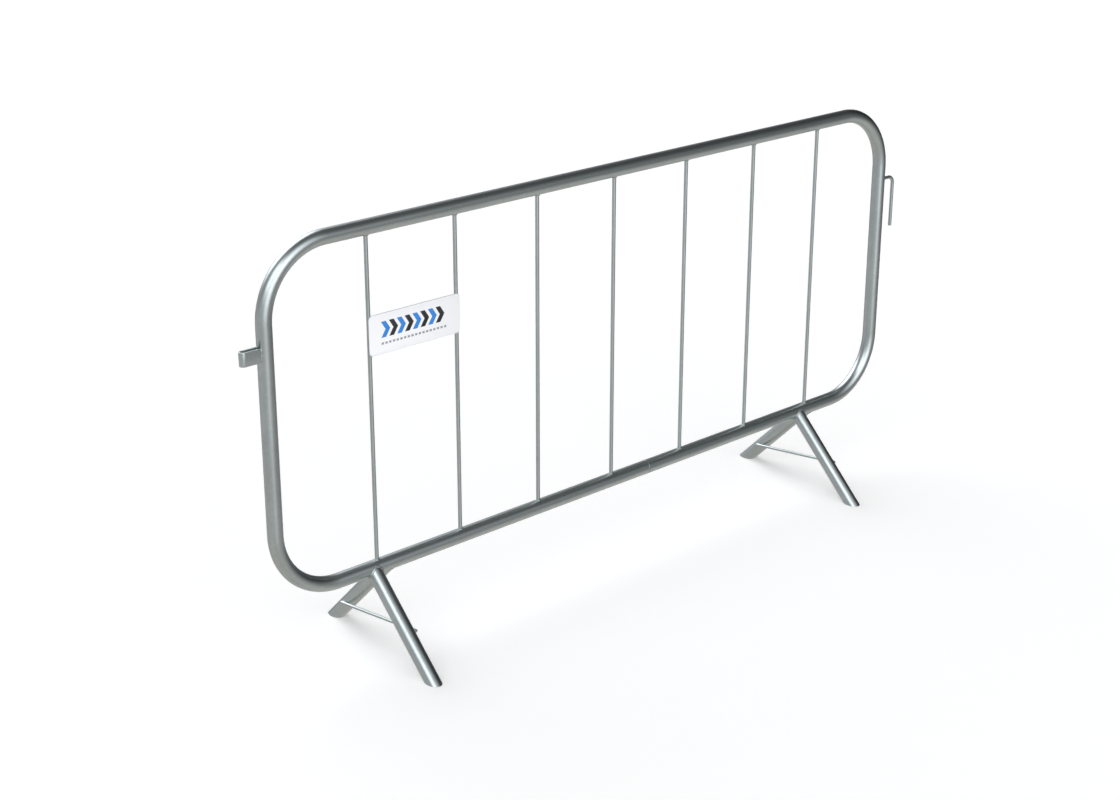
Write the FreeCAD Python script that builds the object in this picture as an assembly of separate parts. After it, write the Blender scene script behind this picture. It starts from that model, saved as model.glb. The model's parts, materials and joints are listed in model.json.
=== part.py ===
"""Fixed-leg crowd control barrier: a bent tube frame with upright infill bars, welded to two splayed leg pairs.

The origin is on the ground, at mid length, in the plane of the frame. +X runs along the barrier towards the hook,
-Y is the front, with the sign, and +Z is up. Millimetres.
"""

import FreeCAD, Part
import math
import os

V = FreeCAD.Vector
X_AXIS = V(1, 0, 0)
Y_AXIS = V(0, 1, 0)
Z_AXIS = V(0, 0, 1)

# Frame: one round tube, bent to a rounded rectangle and closed by a butt weld in the bottom rail.
FRAME_LENGTH = 2200.0
FRAME_HEIGHT = 892.0
GROUND_CLEARANCE = 205.0
TUBE_DIAMETER = 38.0
TUBE_WALL = 1.5
BEND_RADIUS = 172.0
JOINT_X = 132.0
JOINT_GAP = 2.0
JOINT_CAP = 0.3

# Infill: solid round bars at an even pitch, welded between the two rails.
BAR_DIAMETER = 10.0
BAR_COUNT = 7
BAR_PITCH = 264.0
BAR_WELD_LEG = 3.0

# Legs: a front and a rear tube stand side by side in each pair, and meet the bottom rail a little below its middle.
LEG_PAIR_X = 782.0
LEG_DROP = 1.0
LEG_WELD_LEG = 3.0
VENT_DIAMETER = 12.0

# Brace: a thin rod in the gap between the two legs of a pair, welded to the inner side of each.
BRACE_DIAMETER = 8.0
BRACE_REAR_Z = 61.5
BRACE_FRONT_Z = 95.0
BRACE_OVERHANG = 7.0
BRACE_WELD_LEG = 2.0
BRACE_WELD_LENGTH = 14.0
BRACE_GAP = 0.05

# Couplings: the hook of one barrier drops into the loop of the next, and its run rests just above the loop.
HOOK_DIAMETER = 10.0
HOOK_REACH = 48.5
HOOK_BEND_RADIUS = 20.0
HOOK_RUN_Z = 865.0
HOOK_END_Z = 715.0
HOOK_WELD_LEG = 3.0
LOOP_REACH = 49.5
LOOP_WIDTH = 20.0
LOOP_STRAP = 4.0
LOOP_HEIGHT = 34.0
LOOP_TO_HOOK_GAP = 1.0
LOOP_WELD = 2.5

# Sign: a steel plate welded across the fronts of two bars, with a printed film on its face.
SIGN_LENGTH = 275.0
SIGN_HEIGHT = 100.0
SIGN_THICKNESS = 2.0
SIGN_CORNER_RADIUS = 12.0
SIGN_CENTRE_Z = 815.0
FILM_THICKNESS = 0.25
FILM_MARGIN = 0.5
SIGN_WELD_LENGTH = 20.0
SIGN_WELD_RADIUS = 2.2
SIGN_WELD_INSET = 1.0
SIGN_WELD_SPACING = 64.0

# Sizes that follow from the driving dimensions.
TUBE_R = TUBE_DIAMETER / 2
BORE_R = TUBE_R - TUBE_WALL
BAR_R = BAR_DIAMETER / 2
RAIL_Z = GROUND_CLEARANCE + TUBE_R
TOP_RAIL_Z = GROUND_CLEARANCE + FRAME_HEIGHT - TUBE_R
UPRIGHT_X = FRAME_LENGTH / 2 - TUBE_R
FOOT_Y = RAIL_Z - LEG_DROP
LEG_OFFSET = TUBE_DIAMETER + BRACE_DIAMETER + 2 * BRACE_GAP
HOOK_X = FRAME_LENGTH / 2 + HOOK_REACH
LOOP_TOP_Z = HOOK_RUN_Z - HOOK_DIAMETER / 2 - LOOP_TO_HOOK_GAP
BAR_X = [BAR_PITCH * (i - (BAR_COUNT - 1) / 2) for i in range(BAR_COUNT)]
SIDES = ("left", "right")


def rod(start, end, radius):
    """A solid round rod between two points."""
    along = end - start
    return Part.makeCylinder(radius, along.Length, start, along)


def largest(shape):
    """The biggest solid of a cut, without the offcuts."""
    return max(shape.Solids, key=lambda solid: solid.Volume)


def rail(z, radius):
    """A round rod along the whole of a rail's straight stretch."""
    half = UPRIGHT_X - BEND_RADIUS
    return rod(V(-half, 0, z), V(half, 0, z), radius)


def upright(side, radius):
    """A round rod along the straight stretch of the left or right upright."""
    x = -UPRIGHT_X if side == "left" else UPRIGHT_X
    return rod(V(x, 0, RAIL_Z + BEND_RADIUS), V(x, 0, TOP_RAIL_Z - BEND_RADIUS), radius)


def bend(centre_x, centre_z, start_deg, radius):
    """A quarter of a torus in the frame's plane, turning from start_deg up to start_deg + 90."""
    ring = Part.makeTorus(BEND_RADIUS, radius, V(0, 0, 0), Z_AXIS, 0, 360, 90)
    ring.rotate(V(0, 0, 0), X_AXIS, 90)
    ring.rotate(V(0, 0, 0), Y_AXIS, -start_deg)
    ring.translate(V(centre_x, 0, centre_z))
    return ring


def frame_core(radius):
    """The frame's closed centreline, thickened to a radius."""
    near_x = UPRIGHT_X - BEND_RADIUS
    low_z = RAIL_Z + BEND_RADIUS
    high_z = TOP_RAIL_Z - BEND_RADIUS
    pieces = [rail(RAIL_Z, radius), rail(TOP_RAIL_Z, radius), upright("left", radius), upright("right", radius)]
    pieces.append(bend(near_x, high_z, 0, radius))
    pieces.append(bend(-near_x, high_z, 90, radius))
    pieces.append(bend(-near_x, low_z, 180, radius))
    pieces.append(bend(near_x, low_z, 270, radius))
    return pieces[0].multiFuse(pieces[1:])


def pair_x(side):
    """Where the middle of a leg pair is along the barrier."""
    return -LEG_PAIR_X if side == "left" else LEG_PAIR_X


def leg_line(side, front):
    """The foot and the aim point of a leg's axis. In each pair the front leg is nearer the loop end."""
    towards = -1 if front else 1
    x = pair_x(side) + towards * LEG_OFFSET / 2
    return V(x, towards * FOOT_Y, 0), V(x, 0, RAIL_Z - LEG_DROP)


def leg_core(side, front, radius):
    """A leg as a solid rod, from its foot, cut level with the ground, to its aim point inside the rail."""
    foot, aim = leg_line(side, front)
    along = (aim - foot).normalize()
    long_rod = rod(foot - along * TUBE_DIAMETER, aim, radius)
    ground = Part.makeBox(2 * TUBE_DIAMETER, 3 * TUBE_DIAMETER, 2 * TUBE_DIAMETER)
    ground.translate(foot - V(TUBE_DIAMETER, 1.5 * TUBE_DIAMETER, 2 * TUBE_DIAMETER))
    return long_rod.cut(ground)


def leg(side, front):
    """A leg's tube, coped to the rail."""
    tube = leg_core(side, front, TUBE_R).cut(leg_core(side, front, BORE_R))
    return largest(tube.cut(rail(RAIL_Z, TUBE_R)))


def vent(side, front):
    """A hole through the rail's wall inside a leg's bore, which lets zinc and air through in the dip."""
    foot, aim = leg_line(side, front)
    along = (aim - foot).normalize()
    return rod(aim - along * TUBE_DIAMETER, aim, VENT_DIAMETER / 2)


def frame_tube():
    """The bent tube, with its butt gap and the vent holes."""
    tube = frame_core(TUBE_R).cut(frame_core(BORE_R))
    gap = rod(V(JOINT_X - JOINT_GAP / 2, 0, RAIL_Z), V(JOINT_X + JOINT_GAP / 2, 0, RAIL_Z), TUBE_DIAMETER)
    vents = [vent(side, front) for side in SIDES for front in (True, False)]
    return tube.cut([gap] + vents)


def frame_joint_weld():
    """The weld that fills the butt gap, a little proud of the tube."""
    start = V(JOINT_X - JOINT_GAP / 2, 0, RAIL_Z)
    end = V(JOINT_X + JOINT_GAP / 2, 0, RAIL_Z)
    return rod(start, end, TUBE_R + JOINT_CAP).cut(rod(start, end, BORE_R))


def infill_bar(x):
    """A bar from rail to rail, with both ends coped to the rails."""
    bar = rod(V(x, 0, RAIL_Z), V(x, 0, TOP_RAIL_Z), BAR_R)
    return largest(bar.cut([rail(RAIL_Z, TUBE_R), rail(TOP_RAIL_Z, TUBE_R)]))


def bar_weld(x, rail_z, inward):
    """The fillet weld round one end of a bar; inward is +1 above the bottom rail and -1 below the top rail."""
    face_z = rail_z + inward * TUBE_R
    base_r = BAR_R + BAR_WELD_LEG
    skirt = rod(V(x, 0, rail_z), V(x, 0, face_z), base_r)
    fillet = Part.makeCone(base_r, BAR_R, BAR_WELD_LEG, V(x, 0, face_z), V(0, 0, inward))
    bar = rod(V(x, 0, rail_z), V(x, 0, face_z + inward * 2 * BAR_WELD_LEG), BAR_R)
    return largest(skirt.fuse(fillet).cut([rail(rail_z, TUBE_R), bar]))


def leg_weld(side, front):
    """The bead round a leg at the rail."""
    rail_skin = rail(RAIL_Z, TUBE_R + LEG_WELD_LEG)
    bead = rail_skin.common(leg_core(side, front, TUBE_R + LEG_WELD_LEG))
    return largest(bead.cut([rail(RAIL_Z, TUBE_R), leg_core(side, front, TUBE_R)]))


def brace_ends(side):
    """Where the brace touches each leg, as points on the brace's own axis, rear leg first."""
    ends = []
    for front, z in ((False, BRACE_REAR_Z), (True, BRACE_FRONT_Z)):
        foot, aim = leg_line(side, front)
        y = foot.y * (1 - z / aim.z)
        ends.append(V(pair_x(side), y, z))
    return ends


def brace_rod(side):
    """The rod that ties a pair of legs together, running a little past each."""
    rear_point, front_point = brace_ends(side)
    past = (front_point - rear_point).normalize() * BRACE_OVERHANG
    return rod(rear_point - past, front_point + past, BRACE_DIAMETER / 2)


def brace_welds(side):
    """A short bead along both sides of the brace at each leg."""
    rear_point, front_point = brace_ends(side)
    half = (front_point - rear_point).normalize() * (BRACE_WELD_LENGTH / 2)
    beads = []
    for point, front in ((rear_point, False), (front_point, True)):
        sleeve = rod(point - half, point + half, BRACE_DIAMETER / 2 + BRACE_WELD_LEG)
        near_leg = leg_core(side, front, TUBE_R + BRACE_DIAMETER / 2)
        bead = sleeve.common(near_leg).cut([leg_core(side, front, TUBE_R), brace_rod(side)])
        beads += bead.Solids
    return beads


def coupling_hook():
    """A bar bent to a hook: a level run out of the right upright, a bend and a straight leg down."""
    bend_x = HOOK_X - HOOK_BEND_RADIUS
    bend_z = HOOK_RUN_Z - HOOK_BEND_RADIUS
    middle = V(bend_x, 0, bend_z) + V(1, 0, 1) * (HOOK_BEND_RADIUS / math.sqrt(2))
    start = V(UPRIGHT_X, 0, HOOK_RUN_Z)
    turn = V(bend_x, 0, HOOK_RUN_Z)
    drop = V(HOOK_X, 0, bend_z)
    edges = [Part.LineSegment(start, turn).toShape()]
    edges.append(Part.Arc(turn, middle, drop).toShape())
    edges.append(Part.LineSegment(drop, V(HOOK_X, 0, HOOK_END_Z)).toShape())
    section = Part.Wire([Part.Circle(start, X_AXIS, HOOK_DIAMETER / 2).toShape()])
    bar = Part.Wire(edges).makePipeShell([section], True, False)
    return largest(bar.cut(upright("right", TUBE_R)))


def hook_weld():
    """The fillet weld round the hook's run at the right upright."""
    face_x = FRAME_LENGTH / 2
    base_r = HOOK_DIAMETER / 2 + HOOK_WELD_LEG
    skirt = rod(V(UPRIGHT_X, 0, HOOK_RUN_Z), V(face_x, 0, HOOK_RUN_Z), base_r)
    fillet = Part.makeCone(base_r, HOOK_DIAMETER / 2, HOOK_WELD_LEG, V(face_x, 0, HOOK_RUN_Z), X_AXIS)
    run = rod(V(UPRIGHT_X, 0, HOOK_RUN_Z), V(face_x + 2 * HOOK_WELD_LEG, 0, HOOK_RUN_Z), HOOK_DIAMETER / 2)
    return largest(skirt.fuse(fillet).cut([upright("right", TUBE_R), run]))


def loop_outline(width):
    """A U in plan with a round end, from the loop's end to the left upright's axis, as tall as the loop."""
    radius = width / 2
    end_x = -FRAME_LENGTH / 2 - LOOP_REACH + LOOP_WIDTH / 2
    low_z = LOOP_TOP_Z - LOOP_HEIGHT
    round_end = Part.makeCylinder(radius, LOOP_HEIGHT, V(end_x, 0, low_z), Z_AXIS)
    sides = Part.makeBox(-UPRIGHT_X - end_x, width, LOOP_HEIGHT, V(end_x, -radius, low_z))
    return round_end.fuse(sides)


def coupling_loop():
    """A flat strap bent to a U, with both ends on the left upright."""
    strap = loop_outline(LOOP_WIDTH).cut(loop_outline(LOOP_WIDTH - 2 * LOOP_STRAP))
    return largest(strap.cut(upright("left", TUBE_R)))


def loop_welds():
    """A bead down the outside of each end of the strap, in the corner with the upright."""
    low_z = LOOP_TOP_Z - LOOP_HEIGHT
    beads = []
    for side in (-1, 1):
        y = side * LOOP_WIDTH / 2
        x = -UPRIGHT_X - math.sqrt(TUBE_R ** 2 - y ** 2)
        bead = Part.makeCylinder(LOOP_WELD, LOOP_HEIGHT, V(x, y, low_z), Z_AXIS)
        beads += bead.cut([upright("left", TUBE_R), loop_outline(LOOP_WIDTH)]).Solids
    return beads


def rounded_plate(length, height, radius, thickness, front_y):
    """A plate in the frame's plane with round corners, centred on the sign, thickness behind front_y."""
    centre_x = (BAR_X[0] + BAR_X[1]) / 2
    plate = Part.makeBox(length, thickness, height)
    plate.translate(V(centre_x - length / 2, front_y, SIGN_CENTRE_Z - height / 2))
    corners = [edge for edge in plate.Edges if abs(edge.Length - thickness) < 1e-6]
    return plate.makeFillet(radius, corners)


def sign_plate():
    """The steel plate, flat against the fronts of bars 1 and 2."""
    return rounded_plate(SIGN_LENGTH, SIGN_HEIGHT, SIGN_CORNER_RADIUS, SIGN_THICKNESS, -BAR_R - SIGN_THICKNESS)


def sign_film():
    """The printed film on the plate's face."""
    margin = 2 * FILM_MARGIN
    front_y = -BAR_R - SIGN_THICKNESS - FILM_THICKNESS
    radius = SIGN_CORNER_RADIUS - FILM_MARGIN
    return rounded_plate(SIGN_LENGTH - margin, SIGN_HEIGHT - margin, radius, FILM_THICKNESS, front_y)


def sign_welds():
    """Two short beads on the inner side of each of the sign's two bars, behind the plate."""
    beads = []
    corner = BAR_R - SIGN_WELD_INSET
    for x, inward in ((BAR_X[0], 1), (BAR_X[1], -1)):
        for step in (-1, 1):
            low_z = SIGN_CENTRE_Z + (step * SIGN_WELD_SPACING - SIGN_WELD_LENGTH) / 2
            low = V(x + inward * corner, -corner, low_z)
            bead = rod(low, low + Z_AXIS * SIGN_WELD_LENGTH, SIGN_WELD_RADIUS)
            beads.append(largest(bead.cut([infill_bar(x), sign_plate()])))
    return beads


def build():
    """Every node of the barrier, by name."""
    nodes = {"frame_tube": frame_tube(), "frame_joint_weld": frame_joint_weld()}
    for number, x in enumerate(BAR_X, start=1):
        nodes[f"infill_bar_{number}"] = infill_bar(x)
    nodes["bar_welds_bottom"] = Part.makeCompound([bar_weld(x, RAIL_Z, 1) for x in BAR_X])
    nodes["bar_welds_top"] = Part.makeCompound([bar_weld(x, TOP_RAIL_Z, -1) for x in BAR_X])
    for side in SIDES:
        nodes[f"leg_front_{side}"] = leg(side, True)
        nodes[f"leg_rear_{side}"] = leg(side, False)
        nodes[f"leg_welds_{side}"] = Part.makeCompound([leg_weld(side, True), leg_weld(side, False)])
        nodes[f"brace_rod_{side}"] = brace_rod(side)
        nodes[f"brace_welds_{side}"] = Part.makeCompound(brace_welds(side))
    nodes["coupling_hook"] = coupling_hook()
    nodes["hook_weld"] = hook_weld()
    nodes["coupling_loop"] = coupling_loop()
    nodes["loop_welds"] = Part.makeCompound(loop_welds())
    nodes["sign_plate"] = sign_plate()
    nodes["sign_film"] = sign_film()
    nodes["sign_welds"] = Part.makeCompound(sign_welds())
    return nodes


os.makedirs("parts", exist_ok=True)
for name, shape in build().items():
    shape.exportStep(f"parts/{name}.step")
    print(name, len(shape.Solids), shape.isValid(), round(shape.Volume))
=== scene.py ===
"""Looks of the crowd control barrier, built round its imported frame. Metres, in the frame's own axes.

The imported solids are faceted, so each tube, bar, strap and weld is swept again here at a fine pitch, in the
same place and at the same size. Galvanised steel is one node material, made once for each kind of stock.
"""

import bmesh
import bpy
import json
import math
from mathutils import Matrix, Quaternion, Vector, noise


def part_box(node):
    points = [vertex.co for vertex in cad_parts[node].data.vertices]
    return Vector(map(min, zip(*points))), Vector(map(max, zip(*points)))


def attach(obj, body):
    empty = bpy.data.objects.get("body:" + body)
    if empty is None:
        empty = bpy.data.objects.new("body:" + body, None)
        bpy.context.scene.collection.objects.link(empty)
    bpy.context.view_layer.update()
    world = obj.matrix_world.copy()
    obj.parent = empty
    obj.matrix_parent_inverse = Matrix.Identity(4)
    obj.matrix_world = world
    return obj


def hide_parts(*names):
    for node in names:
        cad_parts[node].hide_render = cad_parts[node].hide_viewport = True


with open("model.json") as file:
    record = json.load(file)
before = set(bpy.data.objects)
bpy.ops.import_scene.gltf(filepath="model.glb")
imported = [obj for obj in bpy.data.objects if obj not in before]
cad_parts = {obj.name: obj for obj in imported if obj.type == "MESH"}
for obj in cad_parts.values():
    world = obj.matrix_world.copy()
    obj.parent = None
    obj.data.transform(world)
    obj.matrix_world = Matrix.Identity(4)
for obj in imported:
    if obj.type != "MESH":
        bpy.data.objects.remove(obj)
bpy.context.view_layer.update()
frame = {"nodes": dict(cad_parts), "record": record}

X_AXIS = Vector((1, 0, 0))
Y_AXIS = Vector((0, 1, 0))
Z_AXIS = Vector((0, 0, 1))

# Stock sizes and bends.
TUBE_R = 0.019
TUBE_WALL = 0.0015
FRAME_BEND = 0.172
BAR_R = 0.005
ROD_R = 0.004
HOOK_BEND = 0.020
STRAP = 0.004
STRAP_EDGE = 0.0007
PLATE_EDGE = 0.0004

# Places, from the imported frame.
FRAME_LOW, FRAME_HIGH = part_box("frame_tube")
UPRIGHT_X = FRAME_HIGH.x - TUBE_R
RAIL_Z = FRAME_LOW.z + TUBE_R
TOP_RAIL_Z = FRAME_HIGH.z - TUBE_R
SIDES = ("left", "right")
BARS = sorted(name for name in frame["nodes"] if name.startswith("infill_bar_"))
MOUNTS = {mount["name"]: mount for mount in frame["record"]["mounts"]}

# How far a leg's axis passes below the rail's axis, how high a point of a leg's level cut may lie, half the gap
# that the butt weld closes, the coupling loop's height, and how far a tie rod runs past the middle of its weld.
LEG_DROP = 0.001
ON_GROUND = 0.00001
JOINT_GAP = TUBE_WALL / 4
LOOP_HEIGHT = 0.034
ROD_OVERHANG = 0.007

# Fineness of the swept meshes. The middle of a small round lies 1 - cos 45 degrees of its radius from the edge.
TUBE_SEGMENTS = 64
BAR_SEGMENTS = 32
BEND_STEPS = 40
EDGE_STEPS = 4
CORNER_STEPS = 10
STRAIGHT_STEP = 0.04
BEAD_FACE_STEPS = 8
BEAD_STEP = 0.00035
END_CHAMFER = 0.12
ROUND_MIDDLE = 0.3
SHARP = math.radians(35)

# Weld beads: leg length at each joint, the ripple of each dab of weld metal, and how unevenly a hand lays it.
BAR_BEAD = 0.0024
LEG_BEAD = 0.0034
HOOK_BEAD = 0.0028
ROD_BEAD = 0.0018
ROD_BEAD_LENGTH = 0.014
ROD_BEAD_RISE = math.radians(20)
LOOP_BEAD = 0.0026
SIGN_BEAD = 0.0024
SIGN_BEAD_LENGTH = 0.020
JOINT_BEAD = 0.0055
JOINT_BEAD_LIFT = 0.3
RIPPLE_PITCH = 0.0015
RIPPLE_HEIGHT = 0.00014
RIPPLE_BOW = 0.5
BEAD_CROWN = 0.16
BEAD_SUNK = 0.0004
TOE_SUNK = 0.0001
LEG_BEAD_SOFTNESS = 7
SIGN_TOE_ANGLE = math.radians(10)
TAPER_END = 0.12
TAPER_POWER = 4
GRAZING_POWER = 4
WOBBLE = 0.25
WOBBLE_TURNS = 3
UPRIGHT_WOBBLE_TURNS = 4
OTHER_TOE = 9

# Seeds that keep the beads of different joints from looking alike.
LEG_BEAD_SEED = 20
HOOK_BEAD_SEED = 30
JOINT_BEAD_SEED = 35
ROD_BEAD_SEED = 40
LOOP_BEAD_SEED = 50
SIGN_BEAD_SEED = 60

# The sign's plate and film, and how far the ink stands out of the film.
SIGN_CORNER = 0.012
FILM_CORNER = 0.0115
FILM_EDGE = 0.0001
INK = 0.00005

# The print that stands in for the sign's lettering, as shares of the film's width and height from its top
# left. A chevron's and a dash's width are shares of their pitch, and a dash's height is in metres.
ROW_START, ROW_END = 0.13, 0.86
ROW_TOP, ROW_BOTTOM = 0.20, 0.60
CHEVRONS = 8
CHEVRON_SHARE = 0.60
CHEVRON_SLANT = 0.32
DASHES = 18
DASH_MIDDLE = 0.745
DASH_HEIGHT = 0.0055
DASH_SHARE = 0.62

# Zinc: its colour and how rough it is, then the scale of its marks per metre, and their height.
ZINC_TINT = (0.92, 1.0, 1.0)
ZINC_DULL_TINT = (0.92, 1.0, 0.99)
ZINC_LEVEL = 0.55
ZINC_DULLEST, ZINC_BRIGHTEST = 0.86, 1.10
WELD_LEVEL = ZINC_LEVEL * 0.85
TUBE_ROUGH = 0.30
BAR_ROUGH = 0.32
WELD_ROUGH = 0.40
ROUGH_SPREAD = 0.035
CLOUD_SCALE = 9.0
STREAK_SCALE = (3.0, 110.0, 110.0)
SPANGLE_SCALE = 130.0
SPANGLE_DEPTH = 0.12
GRAIN_SCALE = 1400.0
GRAIN_HEIGHT = 0.00002
WAVE_SCALE = 55.0
WAVE_HEIGHT = 0.00012
WAVE_BUMP = 0.35

# Noise, as its octaves and how much of each finer octave is kept, and the ranges that change the shade.
CLOUD_NOISE = (4.0, 0.55)
STREAK_NOISE = (3.0, 0.6)
GRAIN_NOISE = (2.0, 0.6)
WAVE_NOISE = (2.0, 0.5)
DUST_NOISE = (5.0, 0.6)
MOTTLE_RANGE = (0.3, 0.7)
DUST_RANGE = (0.35, 0.75)

# Film and ink.
FILM_WHITE = (0.855, 0.855, 0.865)
INK_BLUE = (0.015, 0.22, 0.65)
INK_BLACK = (0.012, 0.012, 0.014)
INK_GREY = (0.30, 0.31, 0.32)
DUST = (0.52, 0.51, 0.48)
DUST_SCALE = 18.0
FILM_ROUGH = 0.38
INK_ROUGH = 0.35
PRINT_ROUGH_SPREAD = 0.04
PRINT_BUMP = 0.15

# The room, as levels of light: the walls, the floor as the metal sees it, and the elevations between which
# they blend. A patch is azimuth, elevation, inner and outer radius in degrees, and level. Later patches lie
# over earlier ones: a low glow and a dim wall on the left, a dark wall on the right, the ceiling, a soft box
# behind the barrier and three in front of it.
WHITE = (1.0, 1.0, 1.0, 1.0)
ROOM_TINT = (0.98, 1.0, 1.035)
ROOM_LEVEL = 0.20
FLOOR_TINT = (1.03, 1.0, 0.95)
FLOOR_LEVEL = 0.63
FLOOR_EDGE = (-45.0, -2.0)
LIGHT_PATCHES = (
    (-72.0, -30.0, 50.0, 86.0, 0.58),
    (-45.0, 46.0, 38.0, 55.0, 0.40),
    (92.0, 21.0, 8.0, 60.0, 0.015),
    (0.0, 90.0, 0.0, 44.0, 0.10),
    (2.0, 37.0, 8.0, 40.0, 4.1),
    (-170.0, 17.0, 0.0, 51.0, 2.7),
    (-130.0, 38.0, 8.0, 21.0, 3.2),
    (-119.0, 37.0, 8.0, 29.0, 2.4),
)

# The floor's sheet: its colour, and the little light of its own that keeps it white.
FLOOR_PAPER = (1.015, 1.0, 0.975)
FLOOR_ALBEDO = 0.90
FLOOR_GLOW = 0.17
FLOOR_HALF = 40.0
FLOOR_GAP = 0.0003

# The camera: the photograph's viewing angle.
CAMERA_PLACE = (-3.3733, -3.4455, 2.2807)
CAMERA_AZIMUTH = -42.7646
CAMERA_ELEVATION = 20.7670
CAMERA_ROLL = 0.066
LENS = 62.536
SENSOR = 36.0


def bar_centre(node):
    """The x of an upright bar's axis, the middle of its box."""
    low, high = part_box(node)
    return (low.x + high.x) / 2


def foot_of(node):
    """Where a leg's axis meets the ground: the middle of the leg's level cut."""
    on_ground = [v.co for v in frame["nodes"][node].data.vertices if v.co.z < ON_GROUND]
    xs = [p.x for p in on_ground]
    ys = [p.y for p in on_ground]
    return Vector(((min(xs) + max(xs)) / 2, (min(ys) + max(ys)) / 2, 0))


# ---------------------------------------------------------------- cylinders and where lines meet them

def square_to(way):
    """Two directions at right angles to a direction and to each other."""
    side = Y_AXIS if abs(way.y) < 0.5 else X_AXIS
    u = side.cross(way).normalized()
    return u, way.cross(u)


class Cylinder:
    """An endless round bar: a point on its axis, the axis and a radius."""

    def __init__(self, point, axis, radius):
        self.point = point
        self.axis = axis.normalized()
        self.radius = radius

    def entry(self, start, way):
        """How far along a line from start the line enters the bar, or None where it misses."""
        across = way - self.axis * way.dot(self.axis)
        offset = start - self.point
        offset = offset - self.axis * offset.dot(self.axis)
        a = across.length_squared
        b = across.dot(offset)
        c = offset.length_squared - self.radius ** 2
        reach = b * b - a * c
        if a < 1e-12 or reach < 0:
            return None
        return (-b - math.sqrt(reach)) / a

    def outward(self, place):
        """The direction straight out of the bar's axis at a place."""
        offset = place - self.point
        return (offset - self.axis * offset.dot(self.axis)).normalized()

    def on_skin(self, place):
        """The nearest point of the bar's skin."""
        offset = place - self.point
        centre = self.point + self.axis * offset.dot(self.axis)
        return centre + self.outward(place) * self.radius


class Branch:
    """A round bar that runs from start along way until it meets one of the mains, or its own length ends."""

    def __init__(self, start, way, radius, length, mains):
        self.start = start
        self.way = way.normalized()
        self.radius = radius
        self.length = length
        self.mains = mains
        self.u, self.v = square_to(self.way)

    def line(self, angle, grow=0.0):
        """A point on the branch's skin, or on a skin grown by a little, level with its start."""
        radius = self.radius + grow
        return self.start + self.u * (radius * math.cos(angle)) + self.v * (radius * math.sin(angle))

    def meet(self, angle):
        """How far along a skin line the nearest main is, and that main; else the length and the first main."""
        start = self.line(angle)
        best = (self.length, self.mains[0])
        for main in self.mains:
            reach = main.entry(start, self.way)
            if reach is not None and 0 < reach < best[0]:
                best = (reach, main)
        return best


# ---------------------------------------------------------------- meshes

def face_outward(mesh):
    """Each closed shell of the mesh gets faces that look out of it."""
    work = bmesh.new()
    work.from_mesh(mesh)
    bmesh.ops.recalc_face_normals(work, faces=work.faces)
    work.to_mesh(mesh)
    work.free()


def make_piece(name, points, faces, stock=None, smooth_angle=math.pi):
    """A piece from points and faces. stock is each point's place on the straightened stock, for the streaks."""
    mesh = bpy.data.meshes.new(name)
    mesh.from_pydata(points, [], faces)
    face_outward(mesh)
    if smooth_angle > 0:
        mesh.shade_smooth()
        if smooth_angle < math.pi:
            mesh.set_sharp_from_angle(angle=smooth_angle)
    grain = mesh.attributes.new("stock", "FLOAT_VECTOR", "POINT")
    places = stock if stock else points
    grain.data.foreach_set("vector", [value for place in places for value in place])
    piece = bpy.data.objects.new(name, mesh)
    bpy.context.scene.collection.objects.link(piece)
    return piece


def skin(rings, closed=False):
    """Faces that join rings of equal size in turn, and then the last to the first or a cap at each end."""
    count = len(rings[0])
    faces = []
    last = len(rings) if closed else len(rings) - 1
    for i in range(last):
        here = i * count
        there = (i + 1) % len(rings) * count
        for j in range(count):
            k = (j + 1) % count
            faces.append((here + j, here + k, there + k, there + j))
    if not closed:
        faces.append(tuple(reversed(range(count))))
        faces.append(tuple(range((len(rings) - 1) * count, len(rings) * count)))
    return faces


def flat(rings):
    """The points of all rings in one list."""
    return [point for ring in rings for point in ring]


def round_ring(centre, u, v, radius, segments):
    """A circle of points about centre."""
    turns = [2 * math.pi * j / segments for j in range(segments)]
    return [centre + u * (radius * math.cos(a)) + v * (radius * math.sin(a)) for a in turns]


def stock_ring(along, radius, segments):
    """The same circle on the straightened stock."""
    return round_ring(Vector((along, 0, 0)), Y_AXIS, Z_AXIS, radius, segments)


def stations(length, step):
    """Evenly spaced distances from 0 to length."""
    count = max(1, round(length / step))
    return [length * i / count for i in range(count + 1)]


# ---------------------------------------------------------------- frame tube

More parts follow.
